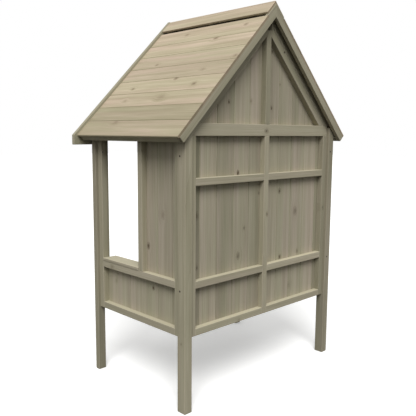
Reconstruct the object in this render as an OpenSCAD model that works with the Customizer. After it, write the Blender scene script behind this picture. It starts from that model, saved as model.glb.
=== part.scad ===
// Garden arbour: four posts, a boarded back, two boarded sides with a half window,
// a slatted bench, and a steep boarded roof that runs from front to back.
// Origin: middle of the arbour's width and of its roof's length, at ground level.
// +X right, +Y back, +Z up.
// "Right" and "left" are as seen by someone who stands at the open front.

/* [Overall] */
// outside width over the posts, mm
width = 1230; // [1000:10:1500]
// outside depth over the posts, mm
depth = 790; // [620:10:960]
// height of the posts, mm
post_h = 1428; // [1300:2:1560]

/* [Posts] */
// width of every post across the arbour, mm
post_w = 48; // [42:1:60]
// depth of a back post, mm
back_post_d = 56; // [46:1:64]
// depth of a front post, mm
front_post_d = 34; // [30:1:56]

/* [Wall panels] */
// height of the panels' bottom edge above the ground, mm
panel_z = 384; // [320:2:440]
// face height of a rail, mm
rail_h = 37; // [30:1:45]
// face width of a stile beside a post, mm
stile_w = 38; // [30:1:45]
// face width of a middle stile, mm
mid_w = 36; // [30:1:45]
// thickness of the framing, front to back, mm
frame_t = 34; // [28:1:38]
// thickness of the tongued boards, mm
board_t = 10; // [8:1:14]
// how far the panels stand back from the posts' outer faces, mm
recess = 16; // [8:1:20]
// height of the armrest rail's top, mm
arm_z = 664; // [600:2:720]
// height of the back's upper rail, top edge, mm
upper_rail_z = 1175; // [1050:5:1220]
// how far a tie beam's bottom edge lies below the posts' tops, mm
tie_drop = 49; // [30:1:70]
// face height of a tie beam, mm
tie_h = 62; // [45:1:70]
// length of a side window, front stile to middle stile, mm
window_w = 329; // [260:1:380]

/* [Armrest and seat] */
// thickness of the armrest board, mm
arm_t = 17; // [15:1:22]
// how far the armrest board reaches inwards from the boards, mm
arm_in = 43; // [20:1:70]
// number of seat slats
slat_n = 5; // [4:1:6]
// width of a seat slat, mm
slat_w = 95; // [80:1:110]
// thickness of a seat slat, mm
slat_t = 18; // [16:1:24]
// gap between seat slats, mm
slat_gap = 10; // [6:1:14]

/* [Roof] */
// overhang of the eaves past the posts, mm
eave_over = 67; // [50:1:100]
// overhang of the roof past the back posts, mm
back_over = 29; // [26:1:60]
// overhang of the roof boards past the front posts, mm
front_over = 36; // [30:1:80]
// height of the roof boards' top face over a post's outer top edge, mm
roof_lift = 21; // [20:1:40]
// thickness of the roof boards, mm
roof_t = 12; // [10:1:15]
// depth of the battens under the roof boards, square to the slope, mm
batten_d = 36; // [30:1:36]
// depth of the rafters over the gable frames, square to the slope, mm
rafter_d = 49; // [44:1:52]
// depth of a gable frame's sloping rail, mm
gable_rail_d = 40; // [34:1:46]
// depth of the wide front bargeboards, square to the slope, mm
front_barge_d = 145; // [120:5:180]
// width of the ridge cap's lapped board, mm
cap_w = 81; // [70:1:100]

/* [Hidden] */
hw = width / 2;
eave_x = hw + eave_over;
ridge_z = post_h + hw + roof_lift;      // the roof boards' ridge line, at a pitch of 45 degrees
tie_z = post_h - tie_drop;
barge_t = 22;                           // thickness of a bargeboard
posts_y1 = (depth + front_over + barge_t - back_over) / 2;   // outer face of the back posts
posts_y0 = posts_y1 - depth;            // outer face of the front posts
in_x = hw - post_w;                     // inner face of every post
front_y = posts_y0 + front_post_d;      // inner face of a front post
face_y = posts_y1 - recess;             // outer face of the back's framing
wall_y = face_y - frame_t;              // outer face of the back's boards
back_y = min(posts_y1 - back_post_d, wall_y);   // inner face of a back post
lining_y = wall_y - board_t;            // inner face of the back's boards
face_x = hw - recess;                   // outer face of a side's framing
wall_x = face_x - frame_t;              // outer face of a side's boards
lining_x = wall_x - board_t;            // inner face of a side's boards
back_half = min(wall_x, in_x);          // half width of the back's boards, between the posts
window_y = front_y + stile_w + window_w;   // back edge of a side window
stile_top = post_h - 33;                // tops of the side stiles, under the roof
r2 = sqrt(2);                           // length of a slope of 45 degrees over its rise
ridge_half = 18;                        // half thickness of the ridge beam
ridge_bottom = ridge_z - 79;
king_half = 18;
king_top = ridge_z - 129;
roof_over = 8;                          // right roof boards past the eave batten
slot_q = 94;                            // upper end of the roof boards below the ridge
cap_t = 12;
cap_back = 7;                           // the cap's back end, short of the roof boards'
saw_cut = 0.5;                          // between two boards mitred at the apex
roof_y0 = posts_y0 - front_over;        // roof boards, front end
roof_y1 = posts_y1 + back_over;         // roof boards, back end
front_barge_up = 14;                    // how far the front bargeboard stands over the boards
tail_x = eave_x + 24;                   // plumb end of a front bargeboard
tail_z = ridge_z - eave_x - 58;         // level cut under a front bargeboard
eave_b = 34.5;                          // width of an eave batten along the slope
bearer_w = 36;
seat_z = panel_z + rail_h;              // underside of the slats
seat_back = lining_y - 2;
seat_front = seat_back - slat_n * slat_w - (slat_n - 1) * slat_gap;
timber = [0.57, 0.54, 0.46];
pale = [0.78, 0.72, 0.60];

// ---- helpers ----
// a box from its two corners
module span(x0, x1, y0, y1, z0, z1) {
    translate([x0, y0, z0]) cube([x1 - x0, y1 - y0, z1 - z0]);
}
// both sides of the arbour
module both() {
    children();
    mirror([1, 0, 0]) children();
}
// an outline in X and Z, as thick as y0 to y1
module plate(points, y0, y1) {
    translate([0, y1, 0]) rotate([90, 0, 0]) linear_extrude(y1 - y0) polygon(points);
}
// X + Z along a line that lies d below the roof boards' top face, square to the slope
function line(d) = ridge_z - d * r2;
// a point q down the slope from the ridge and d below the top face
function at(q, d) = [(q - d) / r2, ridge_z - (q + d) / r2];
// a sloping member with a plumb upper end at x0 and a square lower end at q1
module slope_square(x0, q1, d0, d1, y0, y1) {
    plate([[x0, line(d0) - x0], at(q1, d0), at(q1, d1), [x0, line(d1) - x0]], y0, y1);
}
// a sloping member with plumb ends at x0 and x1
module slope_plumb(x0, x1, d0, d1, y0, y1) {
    plate([[x0, line(d0) - x0], [x1, line(d0) - x1], [x1, line(d1) - x1],
        [x0, line(d1) - x0]], y0, y1);
}

// ---- posts ----
module front_post_right() {
    color(timber) span(in_x, hw, posts_y0, front_y, 0, post_h);
}
module front_post_left() {
    mirror([1, 0, 0]) front_post_right();
}
module back_post_right() {
    color(timber) span(in_x, hw, back_y, posts_y1, 0, post_h);
}
module back_post_left() {
    mirror([1, 0, 0]) back_post_right();
}

// ---- back panel ----
module back_stiles() {
    color(timber) both() span(in_x - stile_w, in_x, wall_y, face_y, panel_z, tie_z);
}
module back_middle_stile() {
    color(timber) span(-mid_w / 2, mid_w / 2, wall_y, face_y, panel_z, tie_z);
}
module back_rails() {
    color(timber) both()
        for (top = [panel_z + rail_h, arm_z, upper_rail_z])
            span(mid_w / 2, in_x - stile_w, wall_y, face_y, top - rail_h, top);
}
// an outline with its upper corners cut to the roof, shared by both tie beams
module tie_beam(y0, y1) {
    top = tie_z + tie_h;
    cut = line(roof_t + rafter_d);
    plate([[-in_x, tie_z], [in_x, tie_z], [in_x, cut - in_x], [cut - top, top],
        [top - cut, top], [-in_x, cut - in_x]], y0, y1);
}
module back_tie_beam() {
    color(timber) tie_beam(wall_y, face_y);
}
module back_boards() {
    color(timber) span(-back_half, back_half, lining_y, wall_y, panel_z, tie_z + tie_h / 2);
}

// ---- gable frames ----
module king_post(y0, y1) {
    span(-king_half, king_half, y0, y1, tie_z + tie_h, king_top);
}
module gable_rails(y0, y1) {
    foot = tie_z + tie_h;
    outer = line(roof_t + rafter_d);
    inner = line(roof_t + rafter_d + gable_rail_d);
    both() plate([[king_half, outer - king_half], [outer - foot, foot],
        [inner - foot, foot], [king_half, inner - king_half]], y0, y1);
}
module back_gable_king_post() {
    color(timber) king_post(wall_y, face_y);
}
module back_gable_rails() {
    color(timber) gable_rails(wall_y, face_y);
}
module back_gable_boards() {
    low = tie_z + tie_h / 2;
    cut = line(roof_t + rafter_d);
    half = min(back_half, cut - low);
    color(timber) plate([[-half, low], [half, low], [cut - king_top, king_top],
        [king_top - cut, king_top]], lining_y, wall_y);
}
module front_tie_beam() {
    color(timber) tie_beam(posts_y0, front_y);
}
module front_king_post() {
    color(timber) king_post(posts_y0, front_y);
}
module front_gable_rails() {
    color(timber) gable_rails(posts_y0, front_y);
}

// ---- side panels ----
module side_stiles_right() {
    color(timber) {
        span(wall_x, face_x, front_y, front_y + stile_w, panel_z, stile_top);
        span(wall_x, face_x, back_y - stile_w, back_y, panel_z, stile_top);
    }
}
module side_stiles_left() {
    mirror([1, 0, 0]) side_stiles_right();
}
module side_middle_stile_right() {
    color(timber) span(wall_x, face_x, window_y, window_y + mid_w,
        arm_z, stile_top - rail_h);
}
module side_middle_stile_left() {
    mirror([1, 0, 0]) side_middle_stile_right();
}
module side_rails_right() {
    color(timber) for (top = [panel_z + rail_h, arm_z, stile_top])
        span(wall_x, face_x, front_y + stile_w, back_y - stile_w, top - rail_h, top);
}
module side_rails_left() {
    mirror([1, 0, 0]) side_rails_right();
}
module side_lower_boards_right() {
    color(timber) span(lining_x, wall_x, front_y, lining_y, panel_z, arm_z);
}
module side_lower_boards_left() {
    mirror([1, 0, 0]) side_lower_boards_right();
}
module side_upper_boards_right() {
    color(timber) {
        span(lining_x, wall_x, window_y, lining_y, arm_z, stile_top);
        span(lining_x, wall_x, front_y, front_y + stile_w, arm_z, stile_top);
    }
}
module side_upper_boards_left() {
    mirror([1, 0, 0]) side_upper_boards_right();
}
module armrest_right() {
    color(timber) span(lining_x - arm_in, face_x + 3, front_y + stile_w,
        window_y, arm_z, arm_z + arm_t);
}
module armrest_left() {
    mirror([1, 0, 0]) armrest_right();
}

// ---- roof ----
module roof_slope(e) {
    plate([at(slot_q, 0), at(e, 0), at(e, roof_t), at(slot_q, roof_t)], roof_y0, roof_y1);
}
module roof_boards_right() {
    color(pale) roof_slope(eave_x * r2 + roof_over);
}
// the left lowest board is trimmed flush with its bargeboard
module roof_boards_left() {
    color(pale) mirror([1, 0, 0]) roof_slope(eave_x * r2 + 1);
}
module rafters_right() {
    color(timber) {
        slope_plumb(ridge_half, in_x, roof_t, roof_t + rafter_d, wall_y, face_y);
        slope_plumb(ridge_half, in_x, roof_t, roof_t + rafter_d, posts_y0, front_y);
        slope_square(ridge_half, eave_x * r2 - eave_b, roof_t, roof_t + batten_d,
            -mid_w / 2, mid_w / 2);
    }
}
module rafters_left() {
    mirror([1, 0, 0]) rafters_right();
}
module eave_battens() {
    e = eave_x * r2;
    color(timber) both() plate([at(e - eave_b, roof_t), at(e, roof_t),
        at(e, roof_t + batten_d), at(e - eave_b, roof_t + batten_d)],
        roof_y0, roof_y1 - barge_t);
}
module back_bargeboards() {
    color(timber) both() slope_square(saw_cut / 2, eave_x * r2, roof_t, roof_t + batten_d,
        roof_y1 - barge_t, roof_y1);
}
module front_bargeboard_right() {
    top = line(-front_barge_up);
    low = line(front_barge_d - front_barge_up);
    color(timber) plate([[0, top], [tail_x, top - tail_x], [tail_x, tail_z],
        [low - tail_z, tail_z], [0, low]], roof_y0 - barge_t, roof_y0);
}
module front_bargeboard_left() {
    mirror([1, 0, 0]) front_bargeboard_right();
}
module ridge_beam() {
    color(timber) plate([[-ridge_half, ridge_bottom], [ridge_half, ridge_bottom],
        [ridge_half, ridge_z - ridge_half], [0, ridge_z], [-ridge_half, ridge_z - ridge_half]],
        roof_y0, roof_y1 - barge_t);
}
// packers that fill the boards' thickness between a rafter or a bargeboard and the cap
module cap_packers() {
    color(timber) both() {
        plate([[saw_cut / 2, ridge_z - saw_cut / 2], at(slot_q, 0), at(slot_q, roof_t),
            [saw_cut / 2, line(roof_t) - saw_cut / 2]], roof_y1 - barge_t, roof_y1);
        for (y = [[wall_y, face_y], [-mid_w / 2, mid_w / 2], [posts_y0, front_y]])
            plate([[ridge_half, ridge_z - ridge_half], at(cap_w - 4, 0), at(cap_w - 4, roof_t),
                [ridge_half, line(roof_t) - ridge_half]], y[0], y[1]);
    }
}
module ridge_cap_right() {
    color(pale) plate([at(0, 0), at(cap_w, 0), at(cap_w, -cap_t), at(0, -cap_t)],
        roof_y0, roof_y1 - cap_back);
}
// the left board laps over the right one's upper edge
module ridge_cap_left() {
    w = cap_w + cap_t;
    color(pale) mirror([1, 0, 0])
        plate([at(-cap_t, 0), at(w, 0), at(w, -cap_t), at(-cap_t, -cap_t)],
            roof_y0, roof_y1 - cap_back);
}

// ---- bench ----
module seat_bearers() {
    color(timber) {
        both() span(lining_x - bearer_w, lining_x, seat_front + 12, lining_y,
            panel_z, seat_z);
        span(-mid_w / 2, mid_w / 2, seat_front + 12, lining_y, panel_z, seat_z);
    }
}
module seat_rails() {
    color(timber) both() for (y = [seat_front + 12, lining_y - frame_t])
        span(mid_w / 2, lining_x - bearer_w, y, y + frame_t, panel_z, seat_z);
}
module seat_slats() {
    color(timber) for (i = [0 : slat_n - 1])
        let (y = seat_front + i * (slat_w + slat_gap))
            span(-lining_x, lining_x, y, y + slat_w, seat_z, seat_z + slat_t);
}

front_post_right();
front_post_left();
back_post_right();
back_post_left();
back_stiles();
back_middle_stile();
back_rails();
back_tie_beam();
back_boards();
back_gable_king_post();
back_gable_rails();
back_gable_boards();
side_stiles_right();
side_stiles_left();
side_middle_stile_right();
side_middle_stile_left();
side_rails_right();
side_rails_left();
side_lower_boards_right();
side_lower_boards_left();
side_upper_boards_right();
side_upper_boards_left();
armrest_right();
armrest_left();
front_tie_beam();
front_king_post();
front_gable_rails();
roof_boards_right();
roof_boards_left();
rafters_right();
rafters_left();
eave_battens();
back_bargeboards();
front_bargeboard_right();
front_bargeboard_left();
ridge_beam();
cap_packers();
ridge_cap_right();
ridge_cap_left();
seat_bearers();
seat_rails();
seat_slats();
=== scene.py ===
# %% [markdown]
# # A garden arbour in pressure-treated pine
# Four posts carry a boarded back, two boarded sides with a half window, a slatted bench and a
# steep boarded roof. This lesson builds it one timber at a time around a fixed CAD frame, so
# every board is its own small solid with eased edges and its own run of grain.

# %% Load the frame
import math
import random

import bmesh
import bpy
from mathutils import Matrix, Vector


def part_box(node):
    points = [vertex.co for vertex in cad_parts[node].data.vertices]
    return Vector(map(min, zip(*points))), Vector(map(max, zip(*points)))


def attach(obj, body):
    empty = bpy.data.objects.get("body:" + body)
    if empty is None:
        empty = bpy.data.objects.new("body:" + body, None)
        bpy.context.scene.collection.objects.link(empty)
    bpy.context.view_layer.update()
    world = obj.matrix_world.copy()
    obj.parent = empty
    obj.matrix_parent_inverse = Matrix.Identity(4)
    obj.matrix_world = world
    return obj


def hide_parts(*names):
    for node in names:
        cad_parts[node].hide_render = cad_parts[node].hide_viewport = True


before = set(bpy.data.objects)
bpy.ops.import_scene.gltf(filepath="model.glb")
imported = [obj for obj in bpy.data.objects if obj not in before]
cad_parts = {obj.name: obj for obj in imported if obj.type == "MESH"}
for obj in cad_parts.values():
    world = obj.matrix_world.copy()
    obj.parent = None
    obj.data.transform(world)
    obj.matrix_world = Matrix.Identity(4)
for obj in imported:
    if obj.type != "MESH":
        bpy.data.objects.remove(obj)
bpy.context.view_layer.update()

dice = random.Random(17)

# %% [markdown]
# ## Camera, floor and light
# The viewer stands two and a half metres off the arbour's back corner at chest height, with a
# normal lens, so that the far posts look shorter than the near one. The light is that of a
# bright overcast day: an even sky and one very wide lamp, high behind the viewer, whose soft
# shadows settle under the rails and eaves.

# %% Camera
EYE = Vector((2.37522, 2.36869, 1.39288))
YAW, PITCH, ROLL = (math.radians(a) for a in (45.694, 7.603, 0.382))

camera = bpy.data.objects.new("camera", bpy.data.cameras.new("camera"))
bpy.context.collection.objects.link(camera)
camera.data.lens = 48.58
camera.data.sensor_width = 36
ahead = Vector((-math.cos(YAW) * math.cos(PITCH), -math.sin(YAW) * math.cos(PITCH), -math.sin(PITCH)))
camera.matrix_world = (Matrix.Translation(EYE) @ ahead.to_track_quat("-Z", "Y").to_matrix().to_4x4()
                       @ Matrix.Rotation(ROLL, 4, "Z"))
bpy.context.scene.camera = camera
bpy.context.scene.view_settings.view_transform = "Standard"
print("camera at", tuple(round(v, 2) for v in camera.location))

# %% [markdown]
# ## Colours and nodes
# Colours are picked as sRGB hex values, and Blender works in linear light, so one function
# turns one into the other. A second adds a node with its settings and its links, which keeps
# each material readable as a list.

# %% Two helpers for materials
def colour(code):
    """An sRGB hex colour as linear red, green, blue and alpha."""
    parts = [int(code[i:i + 2], 16) / 255 for i in (1, 3, 5)]
    return [v / 12.92 if v <= 0.04045 else ((v + 0.055) / 1.055) ** 2.4 for v in parts] + [1.0]


def add(tree, kind, settings={}, links={}):
    """One node: a setting goes to a field or an input socket, a link to an input socket."""
    node = tree.nodes.new(kind)
    for key, value in settings.items():
        if isinstance(key, str) and hasattr(node, key):
            setattr(node, key, value)
        else:
            node.inputs[key].default_value = value
    for key, source in links.items():
        tree.links.new(source, node.inputs[key])
    return node


def new_material(name):
    """An empty material, its node tree and its output node."""
    material = bpy.data.materials.new(name)
    material.use_nodes = True
    material.node_tree.nodes.clear()
    return material, material.node_tree, material.node_tree.nodes.new("ShaderNodeOutputMaterial")


print("pine", [round(v, 3) for v in colour("#9f9883")[:3]])

# %% [markdown]
# The floor is a matt white sheet, lit a little from below so that the shadow on it stays
# faint. Rays that go straight to the eye see that sheet, and the light that is thrown back up
# comes from a grey one, as from a lawn, so that the undersides of the roof stay dark.

# %% Floor
SHEET, LAWN, GLOW = "#fbfbfa", "#3c3c36", 0.25
floor_bm = bmesh.new()
bmesh.ops.create_grid(floor_bm, x_segments=1, y_segments=1, size=30)
floor_mesh = bpy.data.meshes.new("floor")
floor_bm.to_mesh(floor_mesh)
floor_bm.free()
floor = bpy.data.objects.new("floor", floor_mesh)
bpy.context.collection.objects.link(floor)

material, tree, out = new_material("matt_white_floor")
rays = add(tree, "ShaderNodeLightPath")
seen = add(tree, "ShaderNodeMath", {"operation": "MAXIMUM"},
           {0: rays.outputs["Is Camera Ray"], 1: rays.outputs["Is Glossy Ray"]})
seen = add(tree, "ShaderNodeMath", {"operation": "MAXIMUM"},
           {0: seen.outputs[0], 1: rays.outputs["Is Transmission Ray"]})
lawn = add(tree, "ShaderNodeBsdfDiffuse", {"Color": colour(LAWN)})
sheet = add(tree, "ShaderNodeBsdfPrincipled", {"Base Color": colour(SHEET), "Roughness": 1.0,
            "Specular IOR Level": 0.0, "Emission Color": colour(SHEET), "Emission Strength": GLOW})
mix = add(tree, "ShaderNodeMixShader", {},
          {0: seen.outputs[0], 1: lawn.outputs[0], 2: sheet.outputs[0]})
tree.links.new(mix.outputs[0], out.inputs["Surface"])
floor_mesh.materials.append(material)

# %% [markdown]
# The sky is white to the eye and dimmer to the wood, so that the page stays white while the
# lamp still models the timbers. The lamp is as wide as thin cloud in front of the sun.

# %% Light
SKY, KEY = 0.56, 2.5
LAMP_ANGLE, LAMP_WIDTH = 46, 30     # degrees: both its turn and its height, and how wide it is
world = bpy.data.worlds.new("sky")
bpy.context.scene.world = world
world.use_nodes = True
tree = world.node_tree
tree.nodes.clear()
rays = add(tree, "ShaderNodeLightPath")
seen = add(tree, "ShaderNodeMath", {"operation": "MAXIMUM"},
           {0: rays.outputs["Is Camera Ray"], 1: rays.outputs["Is Glossy Ray"]})
seen = add(tree, "ShaderNodeMath", {"operation": "MAXIMUM"},
           {0: seen.outputs[0], 1: rays.outputs["Is Transmission Ray"]})
strength = add(tree, "ShaderNodeMapRange", {"To Min": SKY, "To Max": 1.0}, {"Value": seen.outputs[0]})
sky = add(tree, "ShaderNodeBackground", {"Color": (1, 1, 1, 1)}, {"Strength": strength.outputs[0]})
tree.links.new(sky.outputs[0], add(tree, "ShaderNodeOutputWorld").inputs["Surface"])

lamp = bpy.data.lights.new("key", "SUN")
lamp.energy = KEY
lamp.angle = math.radians(LAMP_WIDTH)
key = bpy.data.objects.new("key", lamp)
bpy.context.collection.objects.link(key)
turned = height = math.radians(LAMP_ANGLE)
toward = Vector((math.cos(turned) * math.cos(height), math.sin(turned) * math.cos(height),
                 math.sin(height)))
key.matrix_world = toward.to_track_quat("Z", "Y").to_matrix().to_4x4()
print("lamp from", tuple(round(v, 2) for v in toward))

# %% [markdown]
# ## Treated pine
# Planed softwood that was pressed full of a green preservative and then stood outdoors: the
# early wood bleaches to a grey tan, the late wood of each growth ring stays darker, and the
# green gathers in broad stains. The faces of the joints are tinted darker green. End grain
# turns dark. Every board has attributes that its builder writes. `grain` is the place of a
# point inside its own board, with x along the fibres. `look` is the board's tone, its tint,
# what kind of face this is, and whether it is the side of a joint. `knot_1` to `knot_3` say
# where its knots lie, how large they are and how dark. The material reads only these, so no
# grain line runs from one board into the next. Real fibres are under 1 mm wide. They are
# drawn 5 mm apart here, and the growth rings 9 to 12 mm, as coarse as they must be to show at
# this distance.

# %% Knots, which the grain flows round
KNOTS_PER_BOARD = 3
ARRIS, END = 0.5, 1.0


def knot_field(tree, grain):
    """Per knot: how near it is, its dark core, its rim, and how far it pushes the grain aside."""
    where = add(tree, "ShaderNodeVectorMath", {"operation": "MULTIPLY", 1: (110.0, 160.0, 160.0)},
                {0: grain})
    ragged = add(tree, "ShaderNodeTexNoise", {"Scale": 1.0, "Detail": 2.0},
                 {"Vector": where.outputs[0]})
    ragged = add(tree, "ShaderNodeMapRange", {"To Min": -0.55, "To Max": 0.55},
                 {"Value": ragged.outputs["Fac"]})
    near = core = rim = push = None
    for n in range(1, KNOTS_PER_BOARD + 1):
        knot = add(tree, "ShaderNodeAttribute", {"attribute_name": "knot_%d" % n}).outputs
        radius = add(tree, "ShaderNodeSeparateXYZ", {}, {0: knot["Vector"]}).outputs["Z"]
        away = add(tree, "ShaderNodeVectorMath", {"operation": "SUBTRACT"},
                   {0: grain, 1: knot["Vector"]})
        oval = add(tree, "ShaderNodeVectorMath", {"operation": "MULTIPLY", 1: (0.7, 1.0, 0.0)},
                   {0: away.outputs[0]})
        length = add(tree, "ShaderNodeVectorMath", {"operation": "LENGTH"}, {0: oval.outputs[0]})
        reach = add(tree, "ShaderNodeMath", {"operation": "DIVIDE"},
                    {0: length.outputs["Value"], 1: radius})
        reach = add(tree, "ShaderNodeMath", {"operation": "ADD"},
                    {0: reach.outputs[0], 1: ragged.outputs[0]})
        halo = add(tree, "ShaderNodeMapRange", {"interpolation_type": "SMOOTHERSTEP", "From Min": 3.6,
                   "From Max": 0.5}, {"Value": reach.outputs[0]})
        heart = add(tree, "ShaderNodeMapRange", {"interpolation_type": "SMOOTHSTEP", "From Min": 1.1,
                    "From Max": 0.25}, {"Value": reach.outputs[0]})
        heart = add(tree, "ShaderNodeMath", {"operation": "MULTIPLY"},
                    {0: heart.outputs[0], 1: knot["Alpha"]})
        edge = add(tree, "ShaderNodeMath", {"operation": "COMPARE", 1: 1.0, 2: 0.14},
                   {0: reach.outputs[0]})
        edge = add(tree, "ShaderNodeMath", {"operation": "MULTIPLY"},
                   {0: edge.outputs[0], 1: knot["Alpha"]})
        side = add(tree, "ShaderNodeVectorMath", {"operation": "MULTIPLY", 1: (0.0, -0.8, 0.0)},
                   {0: away.outputs[0]})
        side = add(tree, "ShaderNodeVectorMath", {"operation": "SCALE"},
                   {0: side.outputs[0], "Scale": halo.outputs[0]})
        if near is None:
            near, core, rim, push = halo, heart, edge, side
        else:
            near, core, rim = (add(tree, "ShaderNodeMath", {"operation": "MAXIMUM"},
                                   {0: old.outputs[0], 1: new.outputs[0]})
                               for old, new in ((near, halo), (core, heart), (rim, edge)))
            push = add(tree, "ShaderNodeVectorMath", {"operation": "ADD"},
                       {0: push.outputs[0], 1: side.outputs[0]})
    return near.outputs[0], core.outputs[0], rim.outputs[0], push.outputs[0]


print("each board has room for", KNOTS_PER_BOARD, "knots")

# %% [markdown]
# One finish serves the three timbers, with other colours. It builds up like a painting: two
# sapwood tints, then one layer over another, each with the field that says where it lies and
# how much of it there is at most. The board's own tone scales the whole at the end.

# %% The finish, shared by the three timbers
# the pale tan painted on upward faces, as painted light from above
PAINTED_TOP_LIGHT = "#c9c2a8"


def pine(name, pale, rosy, dark, green, knot, ring_mm=12.0, contrast=1.0, stain=0.5, top_light=0.0):
    """Planed pine: growth rings, fibres, green stains, knots, end grain, joint faces tinted darker
    green, a painted highlight on the arrises and painted light on upward faces.
    """
    material, tree, out = new_material(name)
    grain = add(tree, "ShaderNodeAttribute", {"attribute_name": "grain"}).outputs["Vector"]
    look_node = add(tree, "ShaderNodeAttribute", {"attribute_name": "look"})
    look = add(tree, "ShaderNodeSeparateColor", {}, {"Color": look_node.outputs["Color"]}).outputs
    near, core, rim, push = knot_field(tree, grain)
    bent = add(tree, "ShaderNodeVectorMath", {"operation": "ADD"}, {0: grain, 1: push}).outputs[0]

    # noise stretched along the board: cells per metre, detail, and what it is spread over
    field = {}
    for key, source, cells, detail, low, high, to_low, to_high in (
            ("fibre", bent, (5.0, 190.0, 190.0), 2.0, 0.3, 0.7, 0.0, 0.30),
            ("streak", bent, (1.1, 34.0, 34.0), 3.0, 0.36, 0.72, 0.0, 0.50),
            ("drift", bent, (0.9, 14.0, 14.0), 2.0, 0.40, 0.62, 0.0, 1.0),
            ("damp", grain, (1.6, 17.0, 17.0), 2.0, 0.35, 0.65, 0.25 * stain, stain),
            ("sheen", bent, (5.0, 190.0, 190.0), 2.0, 0.0, 1.0, 0.74, 0.90)):
        where = add(tree, "ShaderNodeVectorMath", {"operation": "MULTIPLY", 1: cells}, {0: source})
        cloud = add(tree, "ShaderNodeTexNoise", {"Scale": 1.0, "Detail": detail},
                    {"Vector": where.outputs[0]})
        field[key] = add(tree, "ShaderNodeMapRange",
                         {"From Min": low, "From Max": high, "To Min": to_low, "To Max": to_high},
                         {"Value": cloud.outputs["Fac"]}).outputs[0]

    # growth rings run along the board and wander; fibres and wide streaks lie over them
    along = add(tree, "ShaderNodeVectorMath", {"operation": "MULTIPLY", 1: (0.10, 1.0, 1.0)}, {0: bent})
    rings = add(tree, "ShaderNodeTexWave", {"wave_type": "BANDS", "bands_direction": "Y",
                "wave_profile": "SAW", "Scale": math.pi / (10 * ring_mm / 1000), "Distortion": 11.0,
                "Detail": 2.0, "Detail Scale": 0.55}, {"Vector": along.outputs[0]})
    figure = add(tree, "ShaderNodeMath", {"operation": "MULTIPLY_ADD", 1: 0.3},
                 {0: rings.outputs["Fac"], 2: field["fibre"]})
    figure = add(tree, "ShaderNodeMath", {"operation": "ADD"},
                 {0: figure.outputs[0], 1: field["streak"]})
    damp = add(tree, "ShaderNodeMath", {"operation": "MULTIPLY"}, {0: look["Green"], 1: field["damp"]})
    # painted highlight: the bevelled faces of the battens are painted pale at the arrises
    painted_arris_highlight = add(tree, "ShaderNodeMath", {"operation": "COMPARE", 1: ARRIS, 2: 0.2}, {0: look["Blue"]})
    # painted light: faces that look upwards get the pale top tan painted on them
    facing_up = add(tree, "ShaderNodeSeparateXYZ", {},
                    {0: add(tree, "ShaderNodeNewGeometry").outputs["True Normal"]})
    facing_up = add(tree, "ShaderNodeMapRange", {"From Min": 0.8, "From Max": 0.95},
                    {"Value": facing_up.outputs["Z"]})
    sawn = add(tree, "ShaderNodeMapRange", {"From Min": 0.8, "From Max": 1.0}, {"Value": look["Blue"]})

    wood = add(tree, "ShaderNodeMix", {"data_type": "RGBA", 6: colour(pale), 7: colour(rosy)},
               {0: field["drift"]})
    for over, where, most in (
            (dark, figure.outputs[0], contrast),        # late wood
            (green, damp.outputs[0], 1.0),              # preservative, in broad stains
            (dark, near, 0.14), (knot, rim, 0.35), (knot, core, 0.95),
            (rosy, painted_arris_highlight.outputs[0], 0.35),             # painted highlight: the arrises are painted pale
            (PAINTED_TOP_LIGHT, facing_up.outputs[0], top_light),  # painted light: upward faces are painted paler
            (knot, sawn.outputs[0], 0.5),               # end grain drinks and stays dark
            (green, look_node.outputs["Alpha"], 0.45)):  # the faces of the joints are tinted darker green
        share = add(tree, "ShaderNodeMath", {"operation": "MULTIPLY", 1: most}, {0: where})
        wood = add(tree, "ShaderNodeMix", {"data_type": "RGBA", 7: colour(over)},
                   {0: share.outputs[0], 6: wood.outputs[2]})
    tone = add(tree, "ShaderNodeMapRange", {"clamp": False, "To Min": 0.84, "To Max": 1.14},
               {"Value": look["Red"]})
    wood = add(tree, "ShaderNodeVectorMath", {"operation": "SCALE"},
               {0: wood.outputs[2], "Scale": tone.outputs[0]})

    # raised grain: late wood stands a little over early wood, and knots stand proud
    height = add(tree, "ShaderNodeMath", {"operation": "MULTIPLY_ADD", 1: 0.5},
                 {0: core, 2: figure.outputs[0]})
    bump = add(tree, "ShaderNodeBump", {"Strength": 0.3, "Distance": 0.0008},
               {"Height": height.outputs[0]})
    shader = add(tree, "ShaderNodeBsdfPrincipled", {"IOR": 1.45, "Specular IOR Level": 0.25},
                 {"Base Color": wood.outputs[0], "Roughness": field["sheen"], "Normal": bump.outputs[0]})
    tree.links.new(shader.outputs[0], out.inputs["Surface"])
    return material


FINISH = {
    # a matt grey tan with low contrast, as planed battens have after a summer outdoors, with painted
    # light on their upward faces
    "frame_timber": pine("pressure_treated_pine_batten", "#b0aa94", "#b5ac99", "#857e67", "#77775c",
                         "#4a3e2e", contrast=0.68, stain=0.5, top_light=0.75),
    # the same, a shade darker, so that the battens stand out a little from the boards
    "wall_boards": pine("pressure_treated_pine_wall_board", "#ada792", "#b5a99a", "#7e7763", "#75765b",
                        "#4a3e2e", contrast=0.68, stain=0.55),
    # drier and warmer, as the roof gets the sun
    "roof_timber": pine("weathered_pine_roof_board", "#c8bda2", "#d2bcaa", "#90836a", "#a09c7c",
                        "#66543f", ring_mm=9.0, contrast=0.85, stain=0.5),
}
print("finishes", sorted(FINISH))

# %% [markdown]
# ## One timber
# A batten is a planed stick: a box with its arrises taken off. It starts as a cube stretched
# to size, is sawn by planes where an end is cut to the roof's slope, and has every edge
# bevelled by 0.5 to 3 mm. `place` turns a stick's own directions into the arbour's, so that a
# sloping one is made level and turned once.

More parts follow.
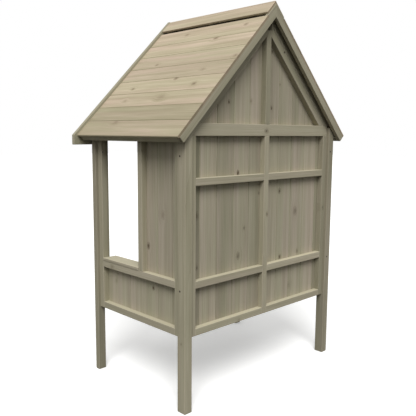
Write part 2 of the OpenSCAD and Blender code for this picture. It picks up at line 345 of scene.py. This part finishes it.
# %% A mesh with room for grain
def new_bm():
    """A mesh under way, with the attributes that the finish reads."""
    bm = bmesh.new()
    bm.loops.layers.float_vector.new("grain")
    for layer in ["look"] + ["knot_%d" % n for n in range(1, KNOTS_PER_BOARD + 1)]:
        bm.loops.layers.float_color.new(layer)
    bm.faces.layers.int.new("done")
    return bm


def fresh(bm):
    """The faces of the stick under way."""
    done = bm.faces.layers.int["done"]
    return [f for f in bm.faces if not f[done]]


print("a corner carries", 2 + KNOTS_PER_BOARD, "attributes")

# %% [markdown]
# The knots that show most are listed: where each one is, its radius in mm and how dark
# it is. A board that holds none of them may get one small knot by chance.

# %% Where the knots are
KNOTS = [(Vector(k[:3]), k[3] / 1000, k[4]) for k in (
    (0.104, -0.143, 1.960, 11, 0.45), (0.161, 0.154, 1.903, 13, 0.70), (0.101, 0.316, 1.963, 12, 0.60),
    (0.287, -0.197, 1.777, 10, 0.50), (0.287, 0.417, 1.777, 10, 0.50), (0.347, 0.248, 1.717, 12, 0.25),
    (0.387, 0.084, 1.677, 12, 0.75), (0.426, 0.265, 1.638, 12, 0.75), (0.428, -0.238, 1.636, 11, 0.60),
    (0.488, 0.081, 1.576, 19, 0.25), (0.498, -0.219, 1.566, 12, 0.30), (0.616, -0.140, 1.448, 15, 0.35),
    (0.270, 0.360, 1.551, 8, 0.90), (0.101, 0.360, 1.563, 8, 0.35), (-0.071, 0.360, 1.532, 8, 0.85),
    (0.195, 0.360, 1.185, 11, 1.00), (-0.158, 0.360, 1.066, 11, 0.90), (-0.310, 0.360, 0.936, 18, 0.50),
    (-0.173, 0.360, 0.677, 11, 0.90), (-0.341, 0.360, 0.689, 9, 0.50), (0.186, 0.360, 0.737, 15, 0.60),
    (0.141, 0.360, 0.885, 8, 0.60), (0.493, 0.360, 0.985, 15, 0.50), (0.489, 0.360, 0.721, 8, 0.60),
    (-0.546, 0.360, 0.940, 9, 0.50), (-0.261, 0.360, 0.492, 15, 0.30), (0.024, 0.360, 1.067, 7, 0.50),
    (-0.066, 0.360, 1.834, 8, 0.80), (0.009, 0.393, 1.406, 12, 0.80), (-0.010, 0.393, 0.950, 9, 0.60),
    (0.565, 0.066, 0.800, 13, 0.90), (0.565, 0.187, 0.978, 17, 0.30), (0.565, 0.106, 0.580, 9, 1.00),
    (0.599, -0.223, 0.643, 12, 0.40), (0.615, -0.326, 0.859, 8, 0.80))]


def board_knots(back, lo, hi, axes, clear):
    """The knots of one board, whose box is lo to hi in its own directions; clear wood has few."""
    long, wide, deep = axes
    own = []
    for point, radius, dark in KNOTS:
        p = back @ point
        if all(lo[i] - 0.003 < p[i] < hi[i] + 0.003 for i in range(3)):
            own.append((p[long], p[wide], radius, dark))
    for _ in range(0 if own else dice.choice((0, 0, 0, 1) if clear else (0, 0, 1))):
        own.append((dice.uniform(lo[long], hi[long]), dice.uniform(lo[wide] + 0.01, hi[wide] - 0.01),
                    dice.uniform(0.004, 0.008), dice.uniform(0.2, 0.5)))
    return (own + [(-9.0, -9.0, 0.001, 0.0)] * KNOTS_PER_BOARD)[:KNOTS_PER_BOARD]


print(len(KNOTS), "knots are placed")

# %% [markdown]
# Once a board has its shape, every corner of every face is told where it lies in the board's own
# directions, so that the finish can follow the fibres however the board is turned.

# %% Writing the grain
def write_grain(bm, place, axes, tone=None, tint=None, tongued=False):
    """Turns the stick's faces outwards and writes its grain. axes are its length, width, depth."""
    faces = fresh(bm)
    bmesh.ops.recalc_face_normals(bm, faces=faces)
    grain, look = bm.loops.layers.float_vector["grain"], bm.loops.layers.float_color["look"]
    done = bm.faces.layers.int["done"]
    back = place.inverted()
    corners = [back @ v.co for f in faces for v in f.verts]
    lo, hi = ([pick(c[i] for c in corners) for i in range(3)] for pick in (min, max))
    start = Vector([dice.uniform(0, 20) for _ in range(3)])
    tone = dice.uniform(0.3, 0.8) if tone is None else tone
    tint = min(1.0, max(0.0, 1.1 - tone)) if tint is None else tint
    long, wide, deep = axes
    knots = [(bm.loops.layers.float_color["knot_%d" % (n + 1)],
              (start.x + u, start.y + v, radius, dark))
             for n, (u, v, radius, dark) in enumerate(board_knots(back, lo, hi, axes, not tongued))]
    for face in faces:
        side = back.to_3x3() @ face.normal
        kind = END if abs(side[long]) > 0.9 else 0.0
        # painted highlight: bevelled faces are marked so that the finish paints them pale
        if not tongued and max(abs(c) for c in side) < 0.96:
            kind = ARRIS
        joint = 1.0 if tongued and abs(side[wide]) > 0.3 and not kind else 0.0
        for loop in face.loops:
            p = back @ loop.vert.co
            loop[grain] = start + Vector((p[long], p[wide], p[deep]))
            loop[look] = (tone, tint, kind, joint)
            for layer, knot in knots:
                loop[layer] = knot
        face[done] = 1


print("grain starts at a place of its own in each board")

# %% [markdown]
# A stick is cut to size, sawn and eased, in that order, as at the bench.

# %% Sawing and planing
def saw(bm, cuts):
    """Cuts the stick under way by planes, each a point and the direction that falls away."""
    for point, away in cuts:
        faces = fresh(bm)
        geom = list({v for f in faces for v in f.verts} | {e for f in faces for e in f.edges}) + faces
        cut = bmesh.ops.bisect_plane(bm, geom=geom, dist=1e-6, plane_co=point, plane_no=away,
                                     clear_outer=True)
        edges = [e for e in cut["geom_cut"] if isinstance(e, bmesh.types.BMEdge) and e.is_boundary]
        if edges:
            bmesh.ops.edgeloop_fill(bm, edges=edges)


def stick(bm, lo, hi, place=Matrix(), ease=0.002, cuts=(), tone=None, tint=None):
    """A planed stick from its lowest to its highest corner, in the directions of place."""
    lo, hi = Vector(lo), Vector(hi)
    size = hi - lo
    bmesh.ops.create_cube(bm, size=1, matrix=place @ Matrix.Translation((lo + hi) / 2)
                          @ Matrix.Diagonal((*size, 1)))
    saw(bm, cuts)
    edges = list({e for f in fresh(bm) for e in f.edges})
    bmesh.ops.bevel(bm, geom=edges, offset=ease, offset_type="OFFSET", segments=2, profile=0.5,
                    affect="EDGES", clamp_overlap=True, material=-1)
    axes = sorted(range(3), key=lambda i: -size[i])
    write_grain(bm, place, axes, tone, tint)


print("sticks are eased by 0.5 to 3 mm")

# %% [markdown]
# The sticks of one node make one object, which gets its finish and hangs under the root, and
# the CAD nodes that it stands for are hidden.

# %% Handing over a piece
def finish_piece(bm, name, slot, nodes):
    """Makes the object, gives it its finish, and lets it stand for CAD nodes."""
    bm.faces.layers.int.remove(bm.faces.layers.int["done"])
    mesh = bpy.data.meshes.new(name)
    bm.to_mesh(mesh)
    bm.free()
    mesh.materials.append(FINISH[slot])
    piece = bpy.data.objects.new(name, mesh)
    bpy.context.collection.objects.link(piece)
    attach(piece, "root")
    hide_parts(*nodes)
    print(name, len(mesh.polygons), "faces for", ", ".join(nodes))


print("a piece takes one of", len(FINISH), "finishes")

# %% [markdown]
# ## Posts
# Each post is one planed timber whose arrises are rounded by 3 mm, square-cut at its foot
# and top.

# %% Posts
# painted shade: the front right and back left posts get low tones, which darken them as the shade under
# the arbour darkens their legs
for place_name, tone in (("front_post_right", -0.1), ("front_post_left", 0.3), ("back_post_right", 0.6),
                         ("back_post_left", -0.1)):
    bm = new_bm()
    stick(bm, *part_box(place_name), ease=0.003, tone=tone, tint=0.5)
    finish_piece(bm, "planed_" + place_name, "frame_timber", [place_name])

# %% [markdown]
# ## The framing of the back and the sides
# Stiles and rails are battens that butt against each other. A node that holds several is one
# piece here too, so its sticks are worked out again from the node's box: the two stiles of a
# panel lie at the box's two ends.

# %% Stiles and rails
STILE = 0.038
RAIL = 0.037
MIDDLE = 0.036


def ends_of(lo, hi, axis, width):
    """The two sticks of that width at both ends of a box along an axis."""
    first, last = hi.copy(), lo.copy()
    first[axis] = lo[axis] + width
    last[axis] = hi[axis] - width
    return [(lo, first), (last, hi)]


lo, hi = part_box("back_stiles")
bm = new_bm()
# painted shade: the left stile's tone of 0.0 darkens it as the shade on its side face does
for corner, tone in zip(ends_of(lo, hi, 0, STILE), (0.0, 0.62)):
    stick(bm, *corner, tone=tone, tint=0.5)
finish_piece(bm, "back_stile_pair", "frame_timber", ["back_stiles"])

bm = new_bm()
stick(bm, *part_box("back_middle_stile"), tone=0.66)
finish_piece(bm, "back_middle_batten", "frame_timber", ["back_middle_stile"])

ARM_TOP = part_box("side_lower_boards_right")[1].z
lo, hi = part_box("back_rails")
bm = new_bm()
for top in (lo.z + RAIL, ARM_TOP, hi.z):
    for x0, x1 in ((lo.x, -MIDDLE / 2), (MIDDLE / 2, hi.x)):
        stick(bm, (x0, lo.y, top - RAIL), (x1, hi.y, top), tone=dice.uniform(0.5, 0.8))
finish_piece(bm, "back_rail_set", "frame_timber", ["back_rails"])

for hand in ("right", "left"):
    lo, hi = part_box("side_stiles_" + hand)
    bm = new_bm()
    for corner in ends_of(lo, hi, 1, STILE):
        stick(bm, *corner, tone=0.55)
    finish_piece(bm, "side_stile_pair_" + hand, "frame_timber", ["side_stiles_" + hand])
    bm = new_bm()
    stick(bm, *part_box("side_middle_stile_" + hand), tone=0.55)
    finish_piece(bm, "side_window_stile_" + hand, "frame_timber", ["side_middle_stile_" + hand])
    lo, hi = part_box("side_rails_" + hand)
    bm = new_bm()
    for top in (lo.z + RAIL, ARM_TOP, hi.z):
        stick(bm, (lo.x, lo.y, top - RAIL), (hi.x, hi.y, top), tone=dice.uniform(0.45, 0.7))
    finish_piece(bm, "side_rail_set_" + hand, "frame_timber", ["side_rails_" + hand])
    bm = new_bm()
    stick(bm, *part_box("armrest_" + hand), ease=0.003, tone=0.6)
    finish_piece(bm, "armrest_board_" + hand, "frame_timber", ["armrest_" + hand])

# %% [markdown]
# ## Tongued boards
# The walls and the roof are clad in matchboard: each board has a tongue on one edge and a
# groove on the other, and a small chamfer on both, so that two boards meet in a V. The
# section is drawn once, extruded to length, and sawn where the roof cuts it. The tongue
# fills the next board's groove, so no light comes through a joint.

# %% One tongued board
def tongued(bm, place, width, thick, length, chamfer=0.0025, cuts=(), tone=None, tint=None,
            tongue=True, groove=True):
    """A board with x along it, y across it and z out of its face, which lies at z = 0."""
    gap, reach = 0.0004, 0.005
    top, low = -thick * 0.38, -thick * 0.66
    section = [(chamfer, 0), (width - chamfer - gap, 0), (width - gap, -chamfer)]
    if tongue:
        section += [(width - gap, top), (width + reach, top), (width + reach, low), (width - gap, low)]
    section += [(width - gap, -thick), (0, -thick)]
    if groove:
        section += [(0, low - gap), (reach + 2 * gap, low - gap), (reach + 2 * gap, top + gap),
                    (0, top + gap)]
    section += [(0, -chamfer)]
    face = bm.faces.new([bm.verts.new(place @ Vector((0, y, z))) for y, z in section])
    drawn = bmesh.ops.extrude_face_region(bm, geom=[face])["geom"]
    bmesh.ops.translate(bm, verts=[v for v in drawn if isinstance(v, bmesh.types.BMVert)],
                        vec=place.to_3x3() @ Vector((length, 0, 0)))
    saw(bm, cuts)
    write_grain(bm, place, (0, 1, 2), tone, tint, tongued=True)


def spread(first, last, joints):
    """The strips between first and last that the joints part."""
    edges = [first] + sorted(j for j in joints if first + 0.012 < j < last - 0.012) + [last]
    return list(zip(edges, edges[1:]))


def facing(origin, x, y, z):
    """A placing matrix from its origin and the directions of its x, y and z."""
    m = Matrix((x, y, z)).transposed().to_4x4()
    m.translation = origin
    return m


UP, RIGHT, BACK = Vector((0, 0, 1)), Vector((1, 0, 0)), Vector((0, 1, 0))
print("a tongued board of 122 mm has a 5 mm tongue")

# %% [markdown]
# ## The slope of the roof
# The roof's pitch is 45 degrees, so one number fixes each slope: the height of the ridge
# line of the boards' top faces. It follows from the lower edge of the boards' box. `slope`
# gives the placing of a stick on either side, with x down the slope from the ridge line, y
# from front to back, and z square out of the boards.

# %% Roof line
ROOF_T = 0.012
R2 = math.sqrt(2)
lo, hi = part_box("roof_boards_right")
RIDGE = lo.z + hi.x + ROOF_T / R2
EAVE_Q = hi.x * R2
TOP_Q = lo.x * R2 + ROOF_T


def slope(side):
    """The placing of the roof's right (1) or left (-1) slope."""
    return facing(Vector((0, 0, RIDGE)), Vector((side, 0, -1)) / R2, BACK, Vector((side, 0, 1)) / R2)


def roof_cut(side, depth):
    """The plane that lies depth under the boards' top faces: what is above it falls away."""
    z = Vector((side, 0, 1)) / R2
    return Vector((0, 0, RIDGE)) - z * depth, z


print("ridge line", round(RIDGE, 4), "boards reach", round(EAVE_Q, 4), "down the slope")

# %% [markdown]
# ## Wall boards
# The back's boards stand upright and run up past the tie beam. Those of the gable carry on
# above them in line and are sawn to the slope, against the undersides of the rafters. The
# back's joints are 122 mm apart, and the sides' 120 mm.

# %% Back and gable boards
BACK_PITCH = 0.122
BACK_JOINTS = [0.474 - BACK_PITCH * k for k in range(9)]
# from left to right: pale boards are rosy, and dark ones green
BACK_TONES = (0.42, 0.89, 0.71, 0.71, 0.77, 0.36, 0.65, 0.42, 0.77, 0.05)
# painted light: some of these tones are raised to lighten boards where the back bargeboards cast their
# shadow
GABLE_TONES = (0.5, 0.42, 0.42, 0.65, 0.5, 0.9, 0.8, 0.4, 0.8)
RAFTER = 0.049

lo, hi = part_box("back_boards")
bm = new_bm()
for n, (x0, x1) in enumerate(spread(lo.x, hi.x, BACK_JOINTS)):
    tongued(bm, facing(Vector((x0, hi.y, lo.z)), UP, RIGHT, BACK), x1 - x0, hi.y - lo.y, hi.z - lo.z,
            tone=BACK_TONES[n], tongue=x1 < hi.x, groove=x0 > lo.x)
finish_piece(bm, "back_matchboards", "wall_boards", ["back_boards"])

lo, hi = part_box("back_gable_boards")
bm = new_bm()
for n, (x0, x1) in enumerate(spread(lo.x, hi.x, BACK_JOINTS)):
    tongued(bm, facing(Vector((x0, hi.y, lo.z)), UP, RIGHT, BACK), x1 - x0, hi.y - lo.y, hi.z - lo.z,
            cuts=[roof_cut(s, ROOF_T + RAFTER) for s in (1, -1)],
            tone=GABLE_TONES[min(n, len(GABLE_TONES) - 1)],
            tongue=x1 < hi.x, groove=x0 > lo.x)
finish_piece(bm, "gable_matchboards", "wall_boards", ["back_gable_boards"])

# %% [markdown]
# The sides are boarded up to the arm, and above it only behind the window. The board beside
# the window is ripped to width, and the strip in front of the window closes the front stile.

# %% Side boards
SIDE_PITCH = 0.12
SIDE_JOINTS = [0.2645 - SIDE_PITCH * k for k in range(5)]
# painted light: the sides' boards get higher tones than the back's, which brightens them in place of a
# lamp from the side
SIDE_TONES = (1.15, 0.9, 1.0, 0.95, 0.8, 1.0)
FINE_V = 0.0018     # the sides' boards are planed closer, and their joints hardly show
for hand, side in (("right", 1), ("left", -1)):
    out_dir = Vector((side, 0, 0))
    lo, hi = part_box("side_lower_boards_" + hand)
    face_x = hi.x if side > 0 else lo.x
    bm = new_bm()
    for n, (y0, y1) in enumerate(spread(lo.y, hi.y, SIDE_JOINTS)):
        tongued(bm, facing(Vector((face_x, y0, lo.z)), UP, BACK, out_dir), y1 - y0, hi.x - lo.x,
                hi.z - lo.z, chamfer=FINE_V, tone=SIDE_TONES[n], tint=0.5, tongue=y1 < hi.y,
                groove=y0 > lo.y)
    finish_piece(bm, "side_low_matchboards_" + hand, "wall_boards", ["side_lower_boards_" + hand])
    lo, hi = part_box("side_upper_boards_" + hand)
    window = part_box("side_middle_stile_" + hand)[0].y
    bm = new_bm()
    strips = spread(window, hi.y, SIDE_JOINTS)
    for (y0, y1), tone in zip(strips + [(lo.y, lo.y + STILE)], SIDE_TONES[-len(strips):] + (0.5,)):
        tongued(bm, facing(Vector((face_x, y0, lo.z)), UP, BACK, out_dir), y1 - y0, hi.x - lo.x,
                hi.z - lo.z, chamfer=FINE_V, tone=tone, tint=0.5, tongue=y1 < hi.y and y1 > window,
                groove=y0 > window)
    finish_piece(bm, "side_high_matchboards_" + hand, "wall_boards", ["side_upper_boards_" + hand])

# %% [markdown]
# ## Gable frames
# A tie beam, a king post and two sloping rails make the triangle that carries the roof. The
# back one is boarded, and the front one is open. The beam's ends are sawn to the slope.

# %% Gable frames
KING, GABLE_RAIL = 0.036, 0.040
for end, names in (("back", ("back_tie_beam", "back_gable_king_post", "back_gable_rails")),
                   ("front", ("front_tie_beam", "front_king_post", "front_gable_rails"))):
    (tlo, thi), (klo, khi), (rlo, rhi) = (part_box(name) for name in names)
    bm = new_bm()
    stick(bm, tlo, thi, cuts=[roof_cut(s, ROOF_T + RAFTER) for s in (1, -1)], tone=0.68, tint=0.3)
    finish_piece(bm, end + "_tie_timber", "frame_timber", [names[0]])
    bm = new_bm()
    # painted shade: the king posts' low tone darkens them as the shade on their sides does
    stick(bm, klo, khi, tone=0.1, tint=0.6)
    finish_piece(bm, end + "_king_timber", "frame_timber", [names[1]])
    bm = new_bm()
    for s in (1, -1):
        outer = ROOF_T + RAFTER
        stick(bm, (0, rlo.y, -outer - GABLE_RAIL), (EAVE_Q, rhi.y, -outer), place=slope(s),
              cuts=[(Vector((s * KING / 2, 0, 0)), Vector((-s, 0, 0))), (Vector((0, 0, thi.z)), -UP)],
              tone=0.35)
    finish_piece(bm, end + "_gable_rail_pair", "frame_timber", [names[2]])

# %% [markdown]
# ## Under the roof
# Rafters sit on both gable frames, with a thinner batten half way along. An eave batten
# closes each lower edge, and a ridge beam ties the tops. Bargeboards cover the boards' ends:
# thin ones under the boards at the back, and wide ones that stand over them at the front.

# %% Rafters, eave battens and ridge
BATTEN, EAVE_B, HALF_RIDGE, LAP = 0.036, 0.0345, 0.018, 0.008
EAVE_END = EAVE_Q - LAP     # the boards reach past the eave batten by LAP
back_frame, front_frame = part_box("back_tie_beam"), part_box("front_tie_beam")
for hand, s in (("right", 1), ("left", -1)):
    lo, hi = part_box("rafters_" + hand)
    inner = (Vector((s * HALF_RIDGE, 0, 0)), Vector((-s, 0, 0)))
    outer = (Vector((s * back_frame[1].x, 0, 0)), Vector((s, 0, 0)))
    bm = new_bm()
    for flo, fhi in (back_frame, front_frame):
        stick(bm, (0, flo.y, -ROOF_T - RAFTER), (EAVE_Q, fhi.y, -ROOF_T), place=slope(s),
              cuts=[inner, outer], tone=0.3)
    stick(bm, (0, -MIDDLE / 2, -ROOF_T - BATTEN), (EAVE_END - EAVE_B, MIDDLE / 2, -ROOF_T),
          place=slope(s), cuts=[inner], tone=0.4)
    finish_piece(bm, "rafter_set_" + hand, "frame_timber", ["rafters_" + hand])

lo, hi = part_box("eave_battens")
bm = new_bm()
for s in (1, -1):
    stick(bm, (EAVE_END - EAVE_B, lo.y, -ROOF_T - BATTEN), (EAVE_END, hi.y, -ROOF_T), place=slope(s),
          tone=0.8)
finish_piece(bm, "eave_batten_pair", "frame_timber", ["eave_battens"])

lo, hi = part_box("back_bargeboards")
bm = new_bm()
for s in (1, -1):
    stick(bm, (-0.05, lo.y, -ROOF_T - BATTEN), (EAVE_END, hi.y, -ROOF_T), place=slope(s),
          cuts=[(Vector((0, 0, 0)), Vector((-s, 0, 0)))], ease=0.0015, tone=0.4)
finish_piece(bm, "back_bargeboard_pair", "frame_timber", ["back_bargeboards"])

FRONT_UP, FRONT_DEEP = 0.014, 0.145
for hand, s in (("right", 1), ("left", -1)):
    lo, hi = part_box("front_bargeboard_" + hand)
    bm = new_bm()
    stick(bm, (-0.2, lo.y, FRONT_UP - FRONT_DEEP), (EAVE_Q + 0.2, hi.y, FRONT_UP), place=slope(s),
          cuts=[(Vector((0, 0, 0)), Vector((-s, 0, 0))), (Vector((0, 0, lo.z)), -UP),
                (Vector((hi.x if s > 0 else lo.x, 0, 0)), Vector((s, 0, 0)))], tone=0.4)
    finish_piece(bm, "wide_bargeboard_" + hand, "frame_timber", ["front_bargeboard_" + hand])

lo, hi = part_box("ridge_beam")
bm = new_bm()
stick(bm, lo, hi, cuts=[roof_cut(s, 0) for s in (1, -1)], tone=0.4)
finish_piece(bm, "ridge_timber", "frame_timber", ["ridge_beam"])

# %% [markdown]
# ## Roof boards and cap
# The roof's matchboards lie level, their joints 107 mm apart up the slope. The lowest one's
# chamfered edge catches the light. Two boards cap the ridge, one lapped over the other's
# edge, and stand on short packers, which leaves a dark slot between cap and boards.

# %% Roof boards
ROOF_PITCH = 0.107
ROOF_JOINTS = [0.8605 - ROOF_PITCH * k for k in range(7)]
# from the ridge down
ROOF_TONES = (0.8, 0.75, 0.45, 0.4, 0.67, 0.6, 0.1, 0.2)
for hand, s in (("right", 1), ("left", -1)):
    lo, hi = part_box("roof_boards_" + hand)
    bm = new_bm()
    down = slope(s)
    eave = max(hi.x, -lo.x) * R2
    for (q0, q1), tone in zip(spread(TOP_Q, eave, ROOF_JOINTS), ROOF_TONES[::s]):
        at = facing(down @ Vector((q0, lo.y, 0)), BACK, Vector((s, 0, -1)) / R2, Vector((s, 0, 1)) / R2)
        tongued(bm, at, q1 - q0, ROOF_T, hi.y - lo.y, chamfer=0.0025, tone=tone, tongue=q1 < eave,
                groove=q0 > TOP_Q)
    finish_piece(bm, "roof_matchboards_" + hand, "roof_timber", ["roof_boards_" + hand])

CAP_T, CAP_W = 0.012, 0.081
END_PACKER, SHY = 0.022, 0.004      # the end packers' length, and how far the others stop short
for hand, s, q0, q1 in (("right", 1, 0.0, CAP_W), ("left", -1, -CAP_T, CAP_W + CAP_T)):
    lo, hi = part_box("ridge_cap_" + hand)
    bm = new_bm()
    stick(bm, (q0, lo.y, 0), (q1, hi.y, CAP_T), place=slope(s), tone=0.6, tint=0.2)
    finish_piece(bm, "cap_board_" + hand, "roof_timber", ["ridge_cap_" + hand])

lo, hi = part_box("cap_packers")
bm = new_bm()
for s in (1, -1):
    for y0, y1, q1, x0 in ((hi.y - END_PACKER, hi.y, TOP_Q, 0.0),
                           (back_frame[0].y, back_frame[1].y, CAP_W - SHY, HALF_RIDGE),
                           (-MIDDLE / 2, MIDDLE / 2, CAP_W - SHY, HALF_RIDGE),
                           (front_frame[0].y, front_frame[1].y, CAP_W - SHY, HALF_RIDGE)):
        stick(bm, (-0.03, y0, -ROOF_T), (q1, y1, 0), place=slope(s), ease=0.0005,
              cuts=[(Vector((s * x0, 0, 0)), Vector((-s, 0, 0)))], tone=0.3)
finish_piece(bm, "cap_packer_set", "frame_timber", ["cap_packers"])

# %% [markdown]
# ## Screws
# Long screws tie each post to the panels' stiles, one at arm height and one under the eaves.
# Only their heads show, sunk flush and painted near black: dark steel, and painted shade that stands for
# their countersunk holes. A head is a short cone with its rim bevelled, pushed in until its face stands
# a hair over the wood.

# %% Screw heads
HEAD_R, HEAD_DEPTH, HEAD_SUNK = 0.0055, 0.003, 0.0012
SCREW_HEIGHTS = (1.284, 0.626)
POST_SCREW_Y, STILE_SCREW_Y, EDGE_IN = 0.372, -0.296, 0.029
GABLE_SCREW_X, GABLE_SCREW_Z = 0.130, 1.834
material, tree, out = new_material("dark_steel_screw_and_painted_hole_shade")
spots = add(tree, "ShaderNodeTexNoise", {"Scale": 900.0, "Detail": 2.0},
            {"Vector": add(tree, "ShaderNodeTexCoord").outputs["Object"]})
# near black steel, partly painted shade that stands for the countersunk holes round the heads
tarnish_and_hole_shade = add(tree, "ShaderNodeMix", {"data_type": "RGBA", 6: colour("#2c2822"), 7: colour("#4a4033")},
              {0: spots.outputs["Fac"]})
shader = add(tree, "ShaderNodeBsdfPrincipled", {"Metallic": 0.6, "Roughness": 0.65},
             {"Base Color": tarnish_and_hole_shade.outputs[2]})
tree.links.new(shader.outputs[0], out.inputs["Surface"])

bm = bmesh.new()
post_x, stile_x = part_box("back_post_right")[1].x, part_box("side_stiles_right")[1].x
far_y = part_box("back_post_left")[1].y
spots_for_screws = [(Vector((s * GABLE_SCREW_X, back_frame[1].y, GABLE_SCREW_Z)), BACK)
                    for s in (1, -1)]
for height in SCREW_HEIGHTS:
    spots_for_screws.append((Vector((-post_x + EDGE_IN, far_y, height)), BACK))
    for s in (1, -1):
        spots_for_screws += [(Vector((s * post_x, POST_SCREW_Y, height)), Vector((s, 0, 0))),
                             (Vector((s * stile_x, STILE_SCREW_Y, height)), Vector((s, 0, 0)))]
for point, out_dir in spots_for_screws:
    turn = out_dir.to_track_quat("Z", "Y").to_matrix().to_4x4()
    sunk = Matrix.Translation(point - out_dir * HEAD_SUNK) @ turn
    head = bmesh.ops.create_cone(bm, cap_ends=True, segments=16, radius1=HEAD_R * 0.6,
                                 radius2=HEAD_R, depth=HEAD_DEPTH, matrix=sunk)
    rim = [e for v in head["verts"] for e in v.link_edges
           if all(((x.co - point) @ out_dir) > 0 for x in e.verts)]
    bmesh.ops.bevel(bm, geom=list(set(rim)), offset=0.0003, offset_type="OFFSET", segments=1,
                    profile=0.5, affect="EDGES", clamp_overlap=True, material=-1)
mesh = bpy.data.meshes.new("screw_heads")
bm.to_mesh(mesh)
bm.free()
mesh.materials.append(material)
screws = bpy.data.objects.new("screw_heads", mesh)
bpy.context.collection.objects.link(screws)
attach(screws, "root")
print(len(spots_for_screws), "screw heads")

# %% [markdown]
# ## Bench
# Five slats rest on bearers at both sides and in the middle, which two cross rails join.

# %% Bench
BEARER, RAIL_DEEP, SLATS, SLAT_GAP = 0.036, 0.034, 5, 0.010
lo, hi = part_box("seat_bearers")
bm = new_bm()
for x0, x1 in ((lo.x, lo.x + BEARER), (-BEARER / 2, BEARER / 2), (hi.x - BEARER, hi.x)):
    stick(bm, (x0, lo.y, lo.z), (x1, hi.y, hi.z))
finish_piece(bm, "bench_bearer_set", "frame_timber", ["seat_bearers"])
rlo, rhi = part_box("seat_rails")
bm = new_bm()
for x0, x1 in ((rlo.x, -BEARER / 2), (BEARER / 2, rhi.x)):
    for y0, y1 in ((rlo.y, rlo.y + RAIL_DEEP), (rhi.y - RAIL_DEEP, rhi.y)):
        stick(bm, (x0, y0, rlo.z), (x1, y1, rhi.z))
finish_piece(bm, "bench_rail_set", "frame_timber", ["seat_rails"])
lo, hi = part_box("seat_slats")
slat = (hi.y - lo.y - (SLATS - 1) * SLAT_GAP) / SLATS
bm = new_bm()
for n in range(SLATS):
    y0 = lo.y + n * (slat + SLAT_GAP)
    stick(bm, (lo.x, y0, lo.z), (hi.x, y0 + slat, hi.z), ease=0.003)
finish_piece(bm, "bench_slat_set", "frame_timber", ["seat_slats"])
